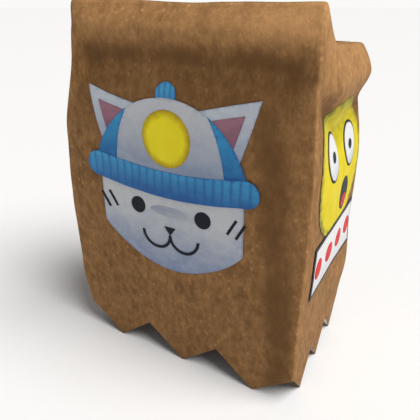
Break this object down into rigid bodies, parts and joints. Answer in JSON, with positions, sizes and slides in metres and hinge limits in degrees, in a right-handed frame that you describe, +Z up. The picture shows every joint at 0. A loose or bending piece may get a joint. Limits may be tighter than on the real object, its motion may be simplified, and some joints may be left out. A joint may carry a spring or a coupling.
{
  "type": "paper bag puppet",
  "caption": "Kraft paper bag puppet with a pinked mouth for the hand, folding gussets and glued paper-cut faces on the front and one side.",
  "frame": {"origin": "centre of the bag's footprint, in the plane of the tooth tips it stands on", "axes": "+Z up to the closed end, -Y out of the broad front panel, +X to the viewer's right when facing the front"},
  "size_m": [0.181, 0.1149, 0.254],
  "materials": {
    "kraft": "brown kraft paper",
    "white_card": "matt white craft paper",
    "blue_card": "matt blue craft paper",
    "pink_card": "matt pink craft paper",
    "yellow_card": "matt yellow craft paper",
    "black_card": "matt black craft paper",
    "grey_card": "matt grey-blue craft paper",
    "red_card": "matt red craft paper"
  },
  "bodies": {
    "front": {"front_panel": "kraft", "head": "white_card", "hat_front": "white_card", "left_hat_side": "blue_card", "right_hat_side": "blue_card", "hat_bobble": "blue_card", "hat_cuff": "blue_card", "hat_patch": "yellow_card", "nose": "black_card", "brow_patch": "grey_card", "left_eye": "black_card", "left_ear": "white_card", "left_inner_ear": "pink_card", "left_smile": "black_card", "left_inner_cheek_mark": "black_card", "left_outer_cheek_mark": "black_card", "right_eye": "black_card", "right_ear": "white_card", "right_inner_ear": "pink_card", "right_smile": "black_card", "right_inner_cheek_mark": "black_card", "right_outer_cheek_mark": "black_card"},
    "right_gusset_front": {"right_gusset_front": "kraft", "side_face_front": "yellow_card", "side_eye_rim_front": "black_card", "side_eye_white_front": "white_card", "side_pupil_front": "black_card", "banner_backing_front": "black_card", "banner_card_front": "white_card", "banner_dot_1": "red_card", "banner_dot_2": "red_card"},
    "right_gusset_rear": {"right_gusset_rear": "kraft", "side_face_rear": "yellow_card", "side_eye_rim_rear": "black_card", "side_eye_white_rear": "white_card", "side_pupil_rear": "black_card", "side_mouth": "black_card", "side_tongue": "red_card", "banner_backing_rear": "black_card", "banner_card_rear": "white_card", "banner_dot_3": "red_card", "banner_dot_4": "red_card"},
    "back": {"back_panel": "kraft", "back_seam": "kraft"},
    "left_gusset_front": {"left_gusset_front": "kraft"},
    "left_gusset_rear": {"left_gusset_rear": "kraft"},
    "end": {"end_panel": "kraft", "end_flap": "kraft", "end_rear_band": "kraft", "left_end_gusset": "kraft", "right_end_gusset": "kraft", "left_end_tuck": "kraft", "right_end_tuck": "kraft", "side_face_top": "yellow_card"}
  },
  "joints": [
    {"name": "right_fold", "type": "hinge", "parent": "front", "child": "right_gusset_front", "pos_m": [0.0895, -0.0565, 0.095], "axis": [0, 0, 1], "range_deg": [0, 85]},
    {"name": "right_crease", "type": "hinge", "parent": "right_gusset_front", "child": "right_gusset_rear", "pos_m": [0.091, 0, 0.095], "axis": [0, 0, 1], "range_deg": [-170, 0]},
    {"name": "back_fold", "type": "hinge", "parent": "right_gusset_rear", "child": "back", "pos_m": [0.0895, 0.0565, 0.095], "axis": [0, 0, 1], "range_deg": [0, 85]},
    {"name": "left_fold", "type": "hinge", "parent": "front", "child": "left_gusset_front", "pos_m": [-0.0895, -0.0565, 0.095], "axis": [0, 0, 1], "range_deg": [-85, 0]},
    {"name": "left_crease", "type": "hinge", "parent": "left_gusset_front", "child": "left_gusset_rear", "pos_m": [-0.091, 0, 0.095], "axis": [0, 0, 1], "range_deg": [0, 170]},
    {"name": "end_tilt", "type": "hinge", "parent": "front", "child": "end", "pos_m": [0, -0.048, 0.254], "axis": [1, 0, 0], "range_deg": [0, 13]}
  ],
  "couplings": [
    {"joint": "right_crease", "follows": "right_fold", "ratio": -2},
    {"joint": "back_fold", "follows": "right_fold", "ratio": 1},
    {"joint": "left_fold", "follows": "right_fold", "ratio": -1},
    {"joint": "left_crease", "follows": "right_fold", "ratio": 2}
  ]
}
